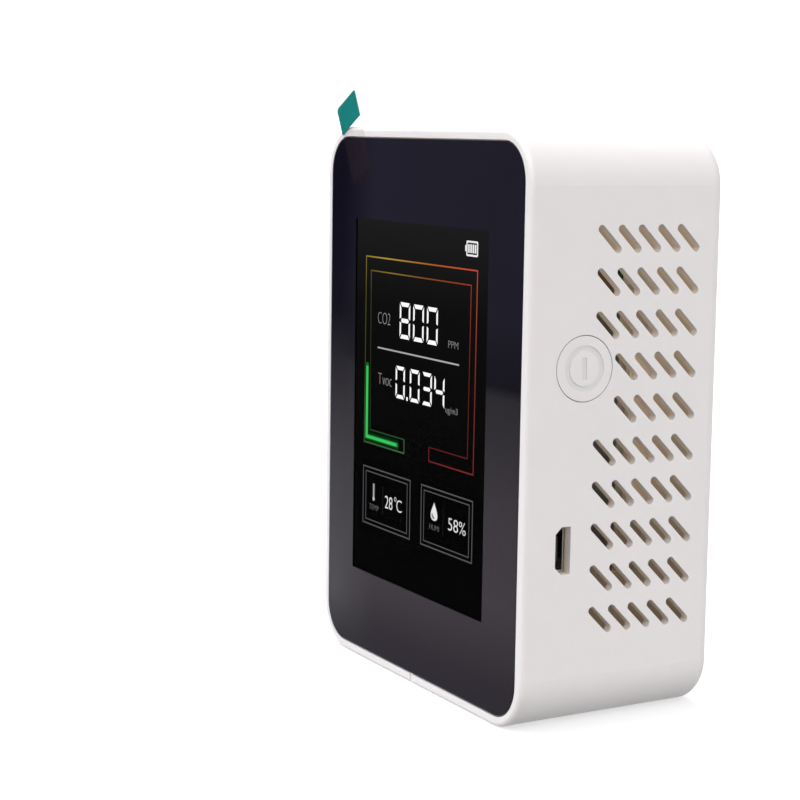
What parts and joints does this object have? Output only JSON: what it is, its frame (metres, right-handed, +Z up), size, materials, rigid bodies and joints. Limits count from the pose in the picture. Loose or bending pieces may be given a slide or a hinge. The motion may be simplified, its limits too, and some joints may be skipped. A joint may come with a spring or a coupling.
{
  "type": "air quality monitor",
  "caption": "Desktop air quality monitor: tall rounded white case with slotted vent sides, flush dark front lens over a colour display, side power button and charging inlet.",
  "frame": {"origin": "bottom centre of the whole part: the middle of its width and depth, on the surface it stands on", "axes": "+X to the right seen from the front, +Y from the display towards the back, +Z up. The lens leans back by the case's draft of 1.15 degrees, because the drafted bottom face lies in z = 0"},
  "size_m": [0.0726, 0.0402, 0.1043],
  "materials": {
    "case_white": "fine satin, warm white ABS",
    "frame_grey": "matt moulded, dark grey",
    "screw_steel": "zinc-plated",
    "lens_clear": "polished clear acrylic",
    "mask_black": "printed black ink seen through the lens",
    "tape_black": "double-sided foam tape",
    "film_clear": "thin clear film",
    "tab_teal": "teal printed film",
    "strip_clear": "thin clear strip",
    "switch_black": "moulded, matt",
    "plunger_black": "moulded, satin",
    "tin_plate": "tinned",
    "shell_steel": "stamped, nickel-plated",
    "socket_black": "moulded, matt",
    "contact_gold": "gold-plated",
    "pcb_green": "solder mask",
    "backlight_steel": "thin stamped tray",
    "lcd_glass": "display glass, dark",
    "lcd_polariser": "dark polarising film",
    "flex_amber": "polyimide ribbon",
    "connector_ivory": "moulded",
    "foam_black": "closed-cell foam",
    "chip_black": "moulded package",
    "ferrite_grey": "ferrite",
    "can_steel": "drawn can",
    "ceramic_tan": "ceramic",
    "pcb_blue": "solder mask",
    "mesh_steel": "woven mesh",
    "sensor_white": "moulded package",
    "cell_foil": "aluminium laminate pouch",
    "tape_amber": "polyimide tape",
    "pad_white": "double-sided foam tape",
    "lead_red": "insulated wire",
    "lead_black": "insulated wire"
  },
  "bodies": {
    "case": {"housing": "case_white", "front_frame": "frame_grey", "frame_screws": "screw_steel", "front_lens": "lens_clear", "lens_black_mask": "mask_black", "lens_adhesive": "tape_black", "protective_film": "film_clear", "film_pull_tab": "tab_teal", "film_tab_tape": "strip_clear", "switch_body": "switch_black", "switch_terminals": "tin_plate", "usb_socket_shell": "shell_steel", "usb_socket_tongue": "socket_black", "usb_contacts": "contact_gold", "main_pcb": "pcb_green", "pcb_screws": "screw_steel", "lcd_backlight_frame": "backlight_steel", "lcd_glass": "lcd_glass", "lcd_polariser": "lcd_polariser", "lcd_flex": "flex_amber", "lcd_connector": "connector_ivory", "lcd_foam_pad": "foam_black", "microcontroller": "chip_black", "microcontroller_leads": "tin_plate", "charge_ic": "chip_black", "charge_ic_leads": "tin_plate", "power_inductor": "ferrite_grey", "crystal_can": "can_steel", "ceramic_capacitors": "ceramic_tan", "chip_resistors": "chip_black", "gas_sensor_board": "pcb_blue", "gas_sensor_can": "can_steel", "gas_sensor_mesh": "mesh_steel", "sensor_header_pins": "contact_gold", "sensor_header_strip": "socket_black", "humidity_sensor": "sensor_white", "battery_cell": "cell_foil", "battery_protection_board": "pcb_green", "battery_tape": "tape_amber", "battery_pad": "pad_white", "battery_lead_red": "lead_red", "battery_lead_black": "lead_black", "battery_plug": "connector_ivory", "battery_header": "connector_ivory"},
    "power_button": {"power_button": "case_white"},
    "switch_plunger": {"switch_plunger": "plunger_black"}
  },
  "joints": [
    {"name": "power_button_press", "type": "slide", "parent": "case", "child": "power_button", "axis": [-1, 0, 0], "range_m": [0, 0.0004], "stiffness_N_per_m": 4000, "springref_m": -0.0001},
    {"name": "switch_plunger_press", "type": "slide", "parent": "case", "child": "switch_plunger", "axis": [-1, 0, 0], "range_m": [0, 0.0004]}
  ],
  "couplings": [
    {"joint": "switch_plunger_press", "follows": "power_button_press", "ratio": 1}
  ]
}
